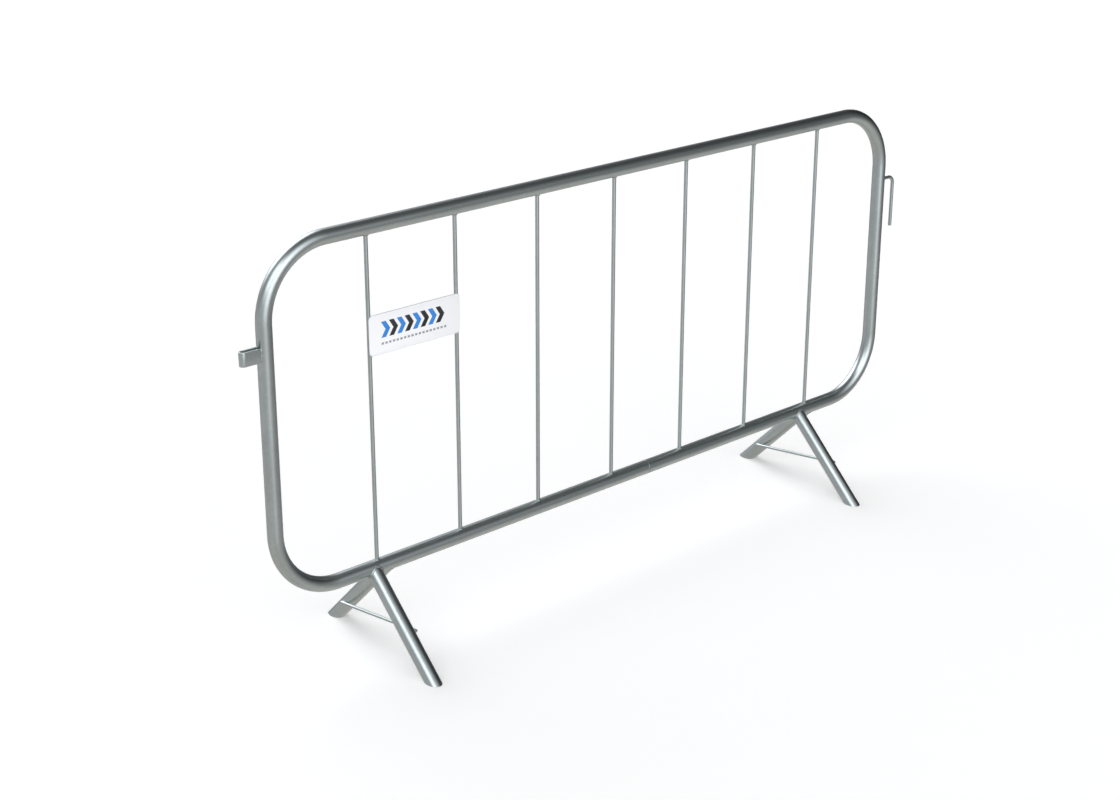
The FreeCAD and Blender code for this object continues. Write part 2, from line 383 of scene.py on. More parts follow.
def frame_path():
    """The frame's centreline from the butt weld round to it again, as (point, outward) pairs."""
    low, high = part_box("frame_joint_weld")
    joint_x = (low.x + high.x) / 2
    near_x = UPRIGHT_X - FRAME_BEND
    low_z = RAIL_Z + FRAME_BEND
    high_z = TOP_RAIL_Z - FRAME_BEND
    path = []

    def straight(start, end, outward):
        for s in stations((end - start).length, STRAIGHT_STEP)[:-1]:
            path.append((start + (end - start).normalized() * s, outward))

    def turn(centre, start_deg):
        for i in range(BEND_STEPS):
            angle = math.radians(start_deg + 90 * i / BEND_STEPS)
            outward = Vector((math.cos(angle), 0, math.sin(angle)))
            path.append((centre + outward * FRAME_BEND, outward))

    straight(Vector((joint_x + JOINT_GAP, 0, RAIL_Z)), Vector((near_x, 0, RAIL_Z)), -Z_AXIS)
    turn(Vector((near_x, 0, low_z)), -90)
    straight(Vector((UPRIGHT_X, 0, low_z)), Vector((UPRIGHT_X, 0, high_z)), X_AXIS)
    turn(Vector((near_x, 0, high_z)), 0)
    straight(Vector((near_x, 0, TOP_RAIL_Z)), Vector((-near_x, 0, TOP_RAIL_Z)), Z_AXIS)
    turn(Vector((-near_x, 0, high_z)), 90)
    straight(Vector((-UPRIGHT_X, 0, high_z)), Vector((-UPRIGHT_X, 0, low_z)), -X_AXIS)
    turn(Vector((-near_x, 0, low_z)), 180)
    straight(Vector((-near_x, 0, RAIL_Z)), Vector((joint_x - JOINT_GAP, 0, RAIL_Z)), -Z_AXIS)
    path.append((Vector((joint_x - JOINT_GAP, 0, RAIL_Z)), -Z_AXIS))
    return path


def frame_tube():
    """The bent tube's outer skin, closed on itself under the butt weld."""
    rings = []
    stock = []
    along = 0.0
    before = None
    for point, outward in frame_path():
        along += (point - before).length if before else 0.0
        before = point
        rings.append(round_ring(point, outward, Y_AXIS, TUBE_R, TUBE_SEGMENTS))
        stock.append(stock_ring(along, TUBE_R, TUBE_SEGMENTS))
    piece = make_piece("bent_frame_tube", flat(rings), skin(rings, closed=True), flat(stock))
    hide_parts("frame_tube")
    return piece


# ---------------------------------------------------------------- bars, rods and legs

def coped_bar(name, start, end, radius, main_at_start, main_at_end):
    """A solid round bar between two mains, each end cut to the main's surface."""
    length = (end - start).length
    middle = (start + end) / 2
    way = (end - start).normalized()
    up = Branch(middle, way, radius, length / 2, [main_at_end])
    down = Branch(middle, -way, radius, length / 2, [main_at_start])
    angles = [2 * math.pi * j / BAR_SEGMENTS for j in range(BAR_SEGMENTS)]
    sides = [up.line(a) for a in angles]
    down_angles = [math.atan2((p - middle).dot(down.v), (p - middle).dot(down.u)) for p in sides]
    high = [up.meet(a)[0] for a in angles]
    low = [-down.meet(a)[0] for a in down_angles]
    rings = []
    stock = []
    for share in stations(1.0, STRAIGHT_STEP / length):
        rings.append([p + way * (a + (b - a) * share) for p, a, b in zip(sides, low, high)])
        stock.append([Vector((t.x + a + (b - a) * share, t.y, t.z))
                      for t, a, b in zip(stock_ring(start.x + start.y, radius, BAR_SEGMENTS), low, high)])
    return make_piece(name, flat(rings), skin(rings), flat(stock), SHARP)


RAIL = Cylinder(Vector((0, 0, RAIL_Z)), X_AXIS, TUBE_R)
TOP_RAIL = Cylinder(Vector((0, 0, TOP_RAIL_Z)), X_AXIS, TUBE_R)
UPRIGHT = {"left": Cylinder(Vector((-UPRIGHT_X, 0, 0)), Z_AXIS, TUBE_R),
           "right": Cylinder(Vector((UPRIGHT_X, 0, 0)), Z_AXIS, TUBE_R)}


def infill_bar(number, node):
    """An upright bar between the rails."""
    x = bar_centre(node)
    piece = coped_bar(f"upright_bar_{number}", Vector((x, 0, RAIL_Z)), Vector((x, 0, TOP_RAIL_Z)), BAR_R,
                      RAIL, TOP_RAIL)
    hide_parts(node)
    return piece


def leg_branch(side, end, radius=TUBE_R):
    """A leg's tube, or its bore, as a branch that runs up from the foot to the rail."""
    foot = foot_of(f"leg_{end}_{side}")
    aim = Vector((foot.x, 0, RAIL_Z - LEG_DROP))
    return Branch(foot, aim - foot, radius, (aim - foot).length, [RAIL])


def leg(side, end):
    """A leg's tube with its bore: cut level at the foot and coped at the rail."""
    outer = leg_branch(side, end)
    inner = leg_branch(side, end, TUBE_R - TUBE_WALL)
    angles = [2 * math.pi * j / TUBE_SEGMENTS for j in range(TUBE_SEGMENTS)]
    rings = []
    stock = []
    lip = TUBE_WALL / 5
    steps = [0.0, lip] + stations(1.0, STRAIGHT_STEP / outer.length)[1:]

    def add_ring(branch, share, radius_change=0.0):
        ring = []
        flat_ring = []
        for a in angles:
            base = branch.line(a, radius_change)
            low = -base.z / branch.way.z
            high = branch.meet(a)[0]
            t = low + (high - low) * share
            ring.append(base + branch.way * t)
            across = (branch.radius * math.cos(a), branch.radius * math.sin(a))
            flat_ring.append(Vector((branch.start.x + t, *across)))
        rings.append(ring)
        stock.append(flat_ring)

    add_ring(outer, 0.0, -lip)
    for share in steps[1:]:
        add_ring(outer, share)
    for share in reversed(steps[1:]):
        add_ring(inner, share)
    add_ring(inner, 0.0, lip)
    piece = make_piece(f"leg_tube_{end}_{side}", flat(rings), skin(rings, closed=True), flat(stock), SHARP)
    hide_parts(f"leg_{end}_{side}")
    return piece


def chamfered_rod(name, start, end, radius):
    """A short rod with a small chamfer at each sawn end."""
    way = (end - start).normalized()
    length = (end - start).length
    u, v = square_to(way)
    chamfer = radius * END_CHAMFER
    rings = []
    stock = []
    spots = [(0.0, radius - chamfer), (chamfer, radius)]
    spots += [(s, radius) for s in stations(length, STRAIGHT_STEP)[1:-1]]
    spots += [(length - chamfer, radius), (length, radius - chamfer)]
    for s, r in spots:
        rings.append(round_ring(start + way * s, u, v, r, BAR_SEGMENTS))
        stock.append(stock_ring(start.x + s, r, BAR_SEGMENTS))
    return make_piece(name, flat(rings), skin(rings), flat(stock), SHARP)


def brace_line(side):
    """A brace rod's axis, rear end first, from the two end rings of its solid."""
    points = [v.co for v in frame["nodes"][f"brace_rod_{side}"].data.vertices]
    ends = []
    for behind in (True, False):
        ring = [p for p in points if (p.y > 0) == behind]
        low = Vector([min(p[i] for p in ring) for i in range(3)])
        high = Vector([max(p[i] for p in ring) for i in range(3)])
        ends.append((low + high) / 2)
    return ends


def brace_rod(side):
    """The thin rod that ties a pair of legs."""
    rear, front = brace_line(side)
    piece = chamfered_rod(f"tie_rod_{side}", rear, front, ROD_R)
    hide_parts(f"brace_rod_{side}")
    return piece


# ---------------------------------------------------------------- hook and loop

def coupling_hook():
    """A bar out of the right upright, bent once, with a straight leg down."""
    low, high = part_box("coupling_hook")
    leg_x = MOUNTS["hook_leg"]["pos_m"][0]
    run_z = high.z - BAR_R
    bend_x = leg_x - HOOK_BEND
    bend_z = run_z - HOOK_BEND
    upright = UPRIGHT["right"]
    chamfer = BAR_R * END_CHAMFER

    clear = round_ring(Vector((UPRIGHT_X + TUBE_R * 2, 0, run_z)), Z_AXIS, Y_AXIS, BAR_R, BAR_SEGMENTS)
    rings = [[p - X_AXIS * upright.entry(p, -X_AXIS) for p in clear]]
    stock = [stock_ring(0.0, BAR_R, BAR_SEGMENTS)]
    start_x = UPRIGHT_X + TUBE_R
    run = bend_x - start_x
    for s in stations(run, BAR_R)[1:]:
        rings.append(round_ring(Vector((start_x + s, 0, run_z)), Z_AXIS, Y_AXIS, BAR_R, BAR_SEGMENTS))
        stock.append(stock_ring(s, BAR_R, BAR_SEGMENTS))
    for i in range(1, BEND_STEPS):
        turn = math.pi / 2 * i / BEND_STEPS
        outward = Vector((math.sin(turn), 0, math.cos(turn)))
        centre = Vector((bend_x, 0, bend_z)) + outward * HOOK_BEND
        rings.append(round_ring(centre, outward, Y_AXIS, BAR_R, BAR_SEGMENTS))
        stock.append(stock_ring(run + turn * HOOK_BEND, BAR_R, BAR_SEGMENTS))
    along = run + math.pi / 2 * HOOK_BEND
    length = bend_z - low.z
    drops = [(s, BAR_R) for s in stations(length - chamfer, BAR_R * 2)] + [(length, BAR_R - chamfer)]
    for s, radius in drops:
        rings.append(round_ring(Vector((leg_x, 0, bend_z - s)), X_AXIS, Y_AXIS, radius, BAR_SEGMENTS))
        stock.append(stock_ring(along + s, radius, BAR_SEGMENTS))
    piece = make_piece("hook_bar", flat(rings), skin(rings), flat(stock), SHARP)
    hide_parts("coupling_hook")
    return piece


def strap_section():
    """The strap's section as (across, up) pairs from its middle: a flat bar with softened edges."""
    half_wide = STRAP / 2 - STRAP_EDGE
    half_tall = LOOP_HEIGHT / 2 - STRAP_EDGE
    section = []
    for corner, (side, up) in enumerate(((1, 1), (-1, 1), (-1, -1), (1, -1))):
        for i in range(EDGE_STEPS + 1):
            angle = math.pi / 2 * (corner + i / EDGE_STEPS)
            section.append((side * half_wide + STRAP_EDGE * math.cos(angle),
                            up * half_tall + STRAP_EDGE * math.sin(angle)))
    return section


def coupling_loop():
    """A flat strap bent to a U, both ends on the left upright."""
    low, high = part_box("coupling_loop")
    centre_x = MOUNTS["loop_eye"]["pos_m"][0]
    middle_z = (low.z + high.z) / 2
    bend = (high.y - low.y - STRAP) / 2
    section = strap_section()
    upright = UPRIGHT["left"]
    rings = []
    stock = []

    def add(centre, across, along):
        rings.append([centre + across * a + Z_AXIS * b for a, b in section])
        stock.append([Vector((along, a, b)) for a, b in section])

    def end_ring(side):
        ring = []
        for a, b in section:
            point = Vector((centre_x, side * (bend + a), middle_z + b))
            ring.append(point + X_AXIS * upright.entry(point, X_AXIS))
        rings.append(ring)
        stock.append([Vector((side * TUBE_R * 4, a, b)) for a, b in section])

    arm = -UPRIGHT_X - TUBE_R - centre_x
    end_ring(1)
    for s in stations(arm, STRAP):
        add(Vector((centre_x + arm - s, bend, middle_z)), Y_AXIS, arm - s)
    for i in range(1, BEND_STEPS):
        angle = math.pi / 2 + math.pi * i / BEND_STEPS
        across = Vector((math.cos(angle), math.sin(angle), 0))
        add(Vector((centre_x, 0, middle_z)) + across * bend, across, -math.pi * bend * i / BEND_STEPS)
    for s in stations(arm, STRAP):
        add(Vector((centre_x + s, -bend, middle_z)), -Y_AXIS, -math.pi * bend - s)
    end_ring(-1)
    piece = make_piece("loop_strap", flat(rings), skin(rings), flat(stock), smooth_angle=SHARP)
    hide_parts("coupling_loop")
    return piece


# ---------------------------------------------------------------- sign

def rounded_outline(low_x, high_x, low_z, high_z, radius):
    """A rectangle with round corners as (x, z) pairs."""
    outline = []
    corners = ((high_x, high_z, 1, 1), (low_x, high_z, -1, 1), (low_x, low_z, -1, -1), (high_x, low_z, 1, -1))
    for turn, (x, z, side, up) in enumerate(corners):
        for i in range(CORNER_STEPS + 1):
            angle = math.pi / 2 * (turn + i / CORNER_STEPS)
            outline.append((x + radius * (math.cos(angle) - side), z + radius * (math.sin(angle) - up)))
    return outline


def plate_piece(name, node, corner, edge):
    """A thin plate in the frame's plane with round corners and a small round on its edges."""
    low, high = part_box(node)
    rings = []
    part = edge * ROUND_MIDDLE
    layers = [(low.y, edge), (low.y + part, part), (low.y + edge, 0.0),
              (high.y - edge, 0.0), (high.y - part, part), (high.y, edge)]
    for y, inset in layers:
        outline = rounded_outline(low.x + inset, high.x - inset, low.z + inset, high.z - inset,
                                  corner - inset)
        rings.append([Vector((x, y, z)) for x, z in outline])
    piece = make_piece(name, flat(rings), skin(rings), smooth_angle=SHARP)
    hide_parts(node)
    return piece


def prism(outline, front_y, depth):
    """The points and faces of a thin prism, depth behind front_y."""
    rings = [[Vector((x, y, z)) for x, z in outline] for y in (front_y, front_y + depth)]
    return flat(rings), skin(rings)


def printed_shapes(name, outlines):
    """Ink on the sign's face, as one piece of thin prisms."""
    low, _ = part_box("sign_film")
    points = []
    faces = []
    for outline in outlines:
        more_points, more_faces = prism(outline, low.y - INK, INK * 2)
        faces += [tuple(index + len(points) for index in face) for face in more_faces]
        points += more_points
    return make_piece(name, points, faces, smooth_angle=0)


def chevron(x, z, width, height):
    """An arrow-like band that points right, from its left end and its middle."""
    tip = height * CHEVRON_SLANT
    return [(x, z + height / 2), (x + tip, z), (x, z - height / 2),
            (x + width, z - height / 2), (x + width + tip, z), (x + width, z + height / 2)]


def sign_print():
    """A generic pattern in the place of print: chevrons in two inks by turns, over a row of grey dashes."""
    low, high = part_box("sign_film")
    wide = high.x - low.x
    tall = high.z - low.z
    row_left = low.x + ROW_START * wide
    row_right = low.x + ROW_END * wide
    height = (ROW_BOTTOM - ROW_TOP) * tall
    middle = high.z - (ROW_TOP + ROW_BOTTOM) / 2 * tall
    tip = height * CHEVRON_SLANT
    pitch = (row_right - row_left - tip) / CHEVRONS
    band = pitch * CHEVRON_SHARE
    row = [chevron(row_left + i * pitch, middle, band, height) for i in range(CHEVRONS)]
    dash_pitch = (row_right - row_left) / DASHES
    dash_z = high.z - DASH_MIDDLE * tall
    dashes = []
    for i in range(DASHES):
        x = row_left + i * dash_pitch
        dashes.append([(x, dash_z + DASH_HEIGHT / 2), (x, dash_z - DASH_HEIGHT / 2),
                       (x + dash_pitch * DASH_SHARE, dash_z - DASH_HEIGHT / 2),
                       (x + dash_pitch * DASH_SHARE, dash_z + DASH_HEIGHT / 2)])
    blue = printed_shapes("sign_chevrons_blue", row[0::2])
    black = printed_shapes("sign_chevrons_black", row[1::2])
    grey = printed_shapes("sign_dashes", dashes)
    return blue, black, grey


# ---------------------------------------------------------------- welds

def wobble(seed, spot):
    """How unevenly a hand lays weld metal: about 1, and the same each run."""
    return 1 + WOBBLE * noise.noise(Vector((spot[0], spot[1], seed)))


def round_wobble(seed, angle):
    """The same round a closed bead, so that its end meets its start."""
    return wobble(seed, (WOBBLE_TURNS * math.cos(angle), WOBBLE_TURNS * math.sin(angle)))


def bead_run(sections, closed):
    """A bead from sections of (toe, toe, root, outward): a crowned face with the ripple of each dab."""
    rings = []
    stock = []
    along = 0.0
    before = None
    for toe_a, toe_b, root, outward in sections:
        middle = (toe_a + toe_b) / 2
        along += (middle - before).length if before else 0.0
        before = middle
        width = (toe_b - toe_a).length
        ring = [root - outward * BEAD_SUNK]
        for j in range(BEAD_FACE_STEPS + 1):
            share = j / BEAD_FACE_STEPS
            crown = 4 * share * (1 - share)
            phase = (along + RIPPLE_BOW * width * crown) / RIPPLE_PITCH
            ripple = abs(math.sin(math.pi * phase)) * RIPPLE_HEIGHT * min(1.0, width / BAR_BEAD)
            lift = width * BEAD_CROWN * crown + ripple * crown ** 0.5 - TOE_SUNK * (1 - crown)
            ring.append(toe_a.lerp(toe_b, share) + outward * lift)
        rings.append(ring)
        stock.append([Vector((along, point.y, point.z)) for point in ring])
    return flat(rings), skin(rings, closed=closed), flat(stock)


def weld_piece(name, node, runs):
    """All the beads of one weld node in one piece. A run is (sections, closed)."""
    points = []
    faces = []
    stock = []
    for sections, closed in runs:
        more_points, more_faces, more_stock = bead_run(sections, closed)
        faces += [tuple(index + len(points) for index in face) for face in more_faces]
        points += more_points
        stock += more_stock
    piece = make_piece(name, points, faces, stock)
    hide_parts(node)
    return piece


def soften(sections, reach):
    """A closed bead's sections, each averaged with its neighbours, as weld metal flows over sharp turns."""
    count = len(sections)
    smooth = []
    for i in range(count):
        near = [sections[(i + k) % count] for k in range(-reach, reach + 1)]
        toe_a, toe_b, root, outward = (sum(same, Vector()) / len(near) for same in zip(*near))
        smooth.append((toe_a, toe_b, root, outward.normalized()))
    return smooth


def saddle_bead(branch, leg_length, seed, reach=0):
    """The bead all round a branch where it meets its mains."""
    count = round(2 * math.pi * (branch.radius + leg_length) / BEAD_STEP)
    sections = []
    for i in range(count):
        angle = 2 * math.pi * i / count
        out = branch.u * math.cos(angle) + branch.v * math.sin(angle)
        size = leg_length * round_wobble(seed, angle)
        distance, main = branch.meet(angle)
        root = branch.line(angle) + branch.way * distance
        main_out = main.outward(root)
        grazing = max(0.0, out.dot(main_out)) ** GRAZING_POWER
        spread = (out * (1 - grazing) + branch.way * grazing).normalized()
        toe_b = main.on_skin(root + spread * size)
        toe_a = root - branch.way * size
        sections.append((toe_a, toe_b, root, (out + main_out).normalized()))
    if reach:
        sections = soften(sections, reach)
    return sections, True


def bar_welds(rail, up):
    """A bead at one end of each upright bar."""
    runs = []
    for seed, node in enumerate(BARS):
        start = Vector((bar_centre(node), 0, (RAIL_Z + TOP_RAIL_Z) / 2))
        branch = Branch(start, Z_AXIS * up, BAR_R, TOP_RAIL_Z - RAIL_Z, [rail])
        runs.append(saddle_bead(branch, BAR_BEAD, seed + (up + 1) * len(BARS)))
    return runs


def leg_welds(side):
    """The beads where the two legs of a pair meet the rail."""
    runs = []
    for seed, end in enumerate(("front", "rear")):
        runs.append(saddle_bead(leg_branch(side, end), LEG_BEAD, seed + LEG_BEAD_SEED, LEG_BEAD_SOFTNESS))
    return runs


def hook_weld():
    """The bead round the hook's run at the right upright."""
    run_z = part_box("coupling_hook")[1].z - BAR_R
    start = Vector((UPRIGHT_X + TUBE_R * 2, 0, run_z))
    branch = Branch(start, -X_AXIS, BAR_R, TUBE_R * 2, [UPRIGHT["right"]])
    return [saddle_bead(branch, HOOK_BEAD, HOOK_BEAD_SEED)]


def joint_weld():
    """The flat bead round the rail that closes the bent tube."""
    low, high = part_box("frame_joint_weld")
    joint_x = (low.x + high.x) / 2
    count = round(2 * math.pi * TUBE_R / BEAD_STEP)
    sections = []
    for i in range(count):
        angle = 2 * math.pi * i / count
        out = Vector((0, math.cos(angle), math.sin(angle)))
        left = JOINT_BEAD / 2 * round_wobble(JOINT_BEAD_SEED, angle)
        right = JOINT_BEAD / 2 * round_wobble(JOINT_BEAD_SEED + 1, angle)
        root = Vector((joint_x, 0, RAIL_Z)) + out * (TUBE_R - BEAD_SUNK)
        skin_point = Vector((joint_x, 0, RAIL_Z)) + out * TUBE_R
        toe_a = skin_point - X_AXIS * left
        toe_b = skin_point + X_AXIS * right
        sections.append((toe_a, toe_b, root, out * JOINT_BEAD_LIFT))
    return [(sections, True)]


def tapered(share):
    """The size of a short bead at a share of its length: round at both ends."""
    away = abs(2 * share - 1)
    return max(TAPER_END, math.sqrt(max(0.0, 1 - away ** TAPER_POWER)))


def brace_welds(side):
    """Two short beads at each leg, above and below the rod."""
    rear, front = brace_line(side)
    way = (front - rear).normalized()
    runs = []
    for seed, (end, start, inward) in enumerate((("rear", rear, way), ("front", front, -way))):
        branch = leg_branch(side, end)
        tube = Cylinder(branch.start, branch.way, TUBE_R)
        touch = start + inward * ROD_OVERHANG
        to_leg = -tube.outward(touch)
        for lean in (1, -1):
            up = way.cross(to_leg).normalized() * lean
            high = (up * math.cos(ROD_BEAD_RISE) - to_leg * math.sin(ROD_BEAD_RISE)) * ROD_R
            low = (up * math.sin(2 * ROD_BEAD_RISE) + to_leg * math.cos(2 * ROD_BEAD_RISE)) * ROD_R
            sections = []
            count = round(ROD_BEAD_LENGTH / BEAD_STEP)
            for i in range(count + 1):
                share = i / count
                centre = touch + way * (ROD_BEAD_LENGTH * (share - 0.5))
                size = tapered(share) * wobble(seed + ROD_BEAD_SEED, (share * WOBBLE_TURNS, lean))
                root = centre + low
                toe_a = root.lerp(centre + high, size)
                toe_b = tube.on_skin(root + up * (ROD_BEAD * size))
                sections.append((toe_a, toe_b, root, (up - to_leg).normalized()))
            runs.append((sections, False))
    return runs


def upright_bead(low_z, length, root, toe_a, toe_b, seed):
    """A straight bead that runs up from low_z. The root and the toes are places in plan."""
    sections = []
    count = round(length / BEAD_STEP)
    outward = ((toe_a - root) + (toe_b - root)).normalized()
    for i in range(count + 1):
        share = i / count
        rise = Z_AXIS * (low_z + length * share)
        size = tapered(share)
        a = root.lerp(toe_a, size * wobble(seed, (share * UPRIGHT_WOBBLE_TURNS, 0)))
        b = root.lerp(toe_b, size * wobble(seed, (share * UPRIGHT_WOBBLE_TURNS, OTHER_TOE)))
        sections.append((a + rise, b + rise, root + rise, outward))
    return sections, False


def loop_welds():
    """A bead down the outside of each end of the strap, in the corner with the upright."""
    low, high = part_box("coupling_loop")
    upright = UPRIGHT["left"]
    runs = []
    for seed, side in enumerate((-1, 1)):
        y = side * high.y
        root = Vector((-UPRIGHT_X - math.sqrt(TUBE_R ** 2 - y ** 2), y, 0))
        toe_a = root - X_AXIS * LOOP_BEAD
        toe_b = upright.on_skin(root + Vector((LOOP_BEAD / 2, side * LOOP_BEAD, 0)))
        runs.append(upright_bead(low.z, high.z - low.z, root, toe_a, toe_b, seed + LOOP_BEAD_SEED))
    return runs


def sign_welds():
    """Two short beads behind the plate, on the inner side of each bar that carries it."""
    low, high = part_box("sign_welds")
    plate_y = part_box("sign_plate")[1].y
    runs = []
    for seed, (x, inward) in enumerate(((bar_centre(BARS[0]), 1), (bar_centre(BARS[1]), -1))):
        lean = Vector((inward * math.cos(SIGN_TOE_ANGLE), -math.sin(SIGN_TOE_ANGLE), 0))
        root = Vector((x + inward * BAR_R / 2, plate_y, 0))
        toe_a = Vector((x, 0, 0)) + lean * BAR_R
        toe_b = Vector((x + inward * (BAR_R + SIGN_BEAD / 2), plate_y, 0))
        for low_z in (low.z, high.z - SIGN_BEAD_LENGTH):
            runs.append(upright_bead(low_z, SIGN_BEAD_LENGTH, root, toe_a, toe_b, seed + SIGN_BEAD_SEED))
    return runs


# ---------------------------------------------------------------- materials

class Nodes:
    """A material's or the world's node tree, with short ways to add and join nodes."""

    def __init__(self, owner):
        owner.use_nodes = True
        self.tree = owner.node_tree
        self.tree.nodes.clear()

    def add(self, kind, settings=None, **inputs):
        """A node with its settings, and its inputs by name: a number, a colour or another node's output."""
        node = self.tree.nodes.new(kind)
        for name, value in (settings or {}).items():
            setattr(node, name, value)
        for name, value in inputs.items():
            socket = node.inputs[int(name[1:])] if name[0] == "_" else node.inputs[name.replace("_", " ")]
            if isinstance(value, bpy.types.NodeSocket):
                self.tree.links.new(value, socket)
            else:
                socket.default_value = value
        return node

    def maths(self, operation, a, b=0.0):
        """One sum."""
        return self.add("ShaderNodeMath", {"operation": operation}, _0=a, _1=b).outputs[0]

    def noise(self, place, scale, kind):
        """Fractal noise from 0 to 1, of one of the kinds at the top."""
        octaves, kept = kind
        node = self.add("ShaderNodeTexNoise", Vector=place, Scale=scale, Detail=octaves, Roughness=kept)
        return node.outputs["Fac"]

    def stretched(self, place, scale):
        """A place with each axis scaled by its own amount."""
        return self.add("ShaderNodeVectorMath", {"operation": "MULTIPLY"}, _0=place, _1=scale).outputs[0]

    def spread(self, value, low, high, out_low, out_high, smooth=False):
        """A value mapped from one range to another, and held at its ends."""
        kind = "SMOOTHSTEP" if smooth else "LINEAR"
        node = self.add("ShaderNodeMapRange", {"interpolation_type": kind}, Value=value,
                        From_Min=low, From_Max=high, To_Min=out_low, To_Max=out_high)
        return node.outputs["Result"]

    def blend(self, share, first, second):
        """A colour between two colours."""
        node = self.add("ShaderNodeMix", {"data_type": "RGBA"}, Factor=share, _6=first, _7=second)
        return node.outputs[2]

    def between(self, share, first, second):
        """A number between two numbers."""
        node = self.add("ShaderNodeMix", {"data_type": "FLOAT"}, Factor=share, _2=first, _3=second)
        return node.outputs[0]

    def bump(self, height, distance, strength, normal=None):
        """A normal that follows a height."""
        inputs = {"Height": height, "Distance": distance, "Strength": strength}
        if normal:
            inputs["Normal"] = normal
        return self.add("ShaderNodeBump", **inputs).outputs["Normal"]


def shaded(tint, level):
    """A colour of one tint at a brightness."""
    return (*[channel * level for channel in tint], 1.0)


def galvanised(name, rough, streak_share, grain_bump, level=ZINC_LEVEL):
    """Hot-dip zinc: a pale grey metal with faint blotches, soft streaks along the stock and a fine grain."""
    material = bpy.data.materials.new(name)
    nodes = Nodes(material)
    place = nodes.add("ShaderNodeTexCoord").outputs["Object"]
    stock = nodes.add("ShaderNodeAttribute", {"attribute_name": "stock"}).outputs["Vector"]
    cloud = nodes.noise(place, CLOUD_SCALE, CLOUD_NOISE)
    streak = nodes.noise(nodes.stretched(stock, STREAK_SCALE), 1.0, STREAK_NOISE)
    flake = nodes.add("ShaderNodeTexVoronoi", Vector=place, Scale=SPANGLE_SCALE).outputs["Color"]
    flake = nodes.add("ShaderNodeSeparateColor", Color=flake).outputs[0]
    grain = nodes.noise(place, GRAIN_SCALE, GRAIN_NOISE)
    wave = nodes.noise(place, WAVE_SCALE, WAVE_NOISE)

    mottle = nodes.maths("ADD", nodes.maths("MULTIPLY", cloud, 1 - streak_share),
                         nodes.maths("MULTIPLY", streak, streak_share))
    spangle = nodes.maths("MULTIPLY", nodes.maths("SUBTRACT", flake, 0.5), SPANGLE_DEPTH)
    mottle = nodes.maths("ADD", mottle, spangle)
    shade = nodes.spread(mottle, *MOTTLE_RANGE, 0.0, 1.0)
    dull = shaded(ZINC_DULL_TINT, level * ZINC_DULLEST)
    colour = nodes.blend(shade, dull, shaded(ZINC_TINT, level * ZINC_BRIGHTEST))
    roughness = nodes.spread(mottle, *MOTTLE_RANGE, rough + ROUGH_SPREAD, rough - ROUGH_SPREAD)
    normal = nodes.bump(wave, WAVE_HEIGHT, WAVE_BUMP)
    normal = nodes.bump(grain, GRAIN_HEIGHT, grain_bump, normal)
    shader = nodes.add("ShaderNodeBsdfPrincipled", Base_Color=colour, Metallic=1.0, Roughness=roughness,
                       Normal=normal)
    nodes.add("ShaderNodeOutputMaterial", Surface=shader.outputs[0])
    return material


def printed(name, ink, rough, dust):
    """Film or ink: a flat colour with a faint bloom of dust and a fine unevenness in its gloss."""
    material = bpy.data.materials.new(name)
    nodes = Nodes(material)
    place = nodes.add("ShaderNodeTexCoord").outputs["Object"]
    cloud = nodes.noise(place, DUST_SCALE, DUST_NOISE)
    speck = nodes.noise(place, GRAIN_SCALE, GRAIN_NOISE)
    share = nodes.spread(cloud, *DUST_RANGE, 0.0, dust)
    colour = nodes.blend(share, (*ink, 1.0), (*DUST, 1.0))
    roughness = nodes.spread(speck, *MOTTLE_RANGE, rough - PRINT_ROUGH_SPREAD, rough + PRINT_ROUGH_SPREAD)
    normal = nodes.bump(speck, GRAIN_HEIGHT, PRINT_BUMP)
    shader = nodes.add("ShaderNodeBsdfPrincipled", Base_Color=colour, Roughness=roughness, Normal=normal)
    nodes.add("ShaderNodeOutputMaterial", Surface=shader.outputs[0])
    return material


# ---------------------------------------------------------------- the object

def dress(piece, material):
    """The piece gets its material and rides on the barrier's only body."""
    piece.data.materials.clear()
    piece.data.materials.append(material)
    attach(piece, "root")


tube_zinc = galvanised("zinc_on_tube", TUBE_ROUGH, streak_share=0.55, grain_bump=0.25)
bar_zinc = galvanised("zinc_on_bar", BAR_ROUGH, streak_share=0.55, grain_bump=0.25)
strap_zinc = galvanised("zinc_on_strap", BAR_ROUGH, streak_share=0.30, grain_bump=0.30)
weld_zinc = galvanised("zinc_on_weld", WELD_ROUGH, streak_share=0.15, grain_bump=0.60, level=WELD_LEVEL)
plate_zinc = galvanised("zinc_on_plate", BAR_ROUGH, streak_share=0.10, grain_bump=0.25)
film_white = printed("sign_film_white", FILM_WHITE, FILM_ROUGH, dust=0.03)
ink_blue = printed("sign_ink_blue", INK_BLUE, INK_ROUGH, dust=0.05)
ink_black = printed("sign_ink_black", INK_BLACK, INK_ROUGH, dust=0.06)
ink_grey = printed("sign_ink_grey", INK_GREY, FILM_ROUGH, dust=0.05)

dress(frame_tube(), tube_zinc)
dress(weld_piece("butt_weld", "frame_joint_weld", joint_weld()), weld_zinc)
for number, node in enumerate(BARS, start=1):
    dress(infill_bar(number, node), bar_zinc)
dress(weld_piece("bar_beads_bottom", "bar_welds_bottom", bar_welds(RAIL, -1)), weld_zinc)
dress(weld_piece("bar_beads_top", "bar_welds_top", bar_welds(TOP_RAIL, 1)), weld_zinc)
for side in SIDES:
    dress(leg(side, "front"), tube_zinc)
    dress(leg(side, "rear"), tube_zinc)
    dress(weld_piece(f"leg_beads_{side}", f"leg_welds_{side}", leg_welds(side)), weld_zinc)
    dress(brace_rod(side), bar_zinc)
    dress(weld_piece(f"tie_rod_beads_{side}", f"brace_welds_{side}", brace_welds(side)), weld_zinc)
dress(coupling_hook(), bar_zinc)
dress(weld_piece("hook_bead", "hook_weld", hook_weld()), weld_zinc)
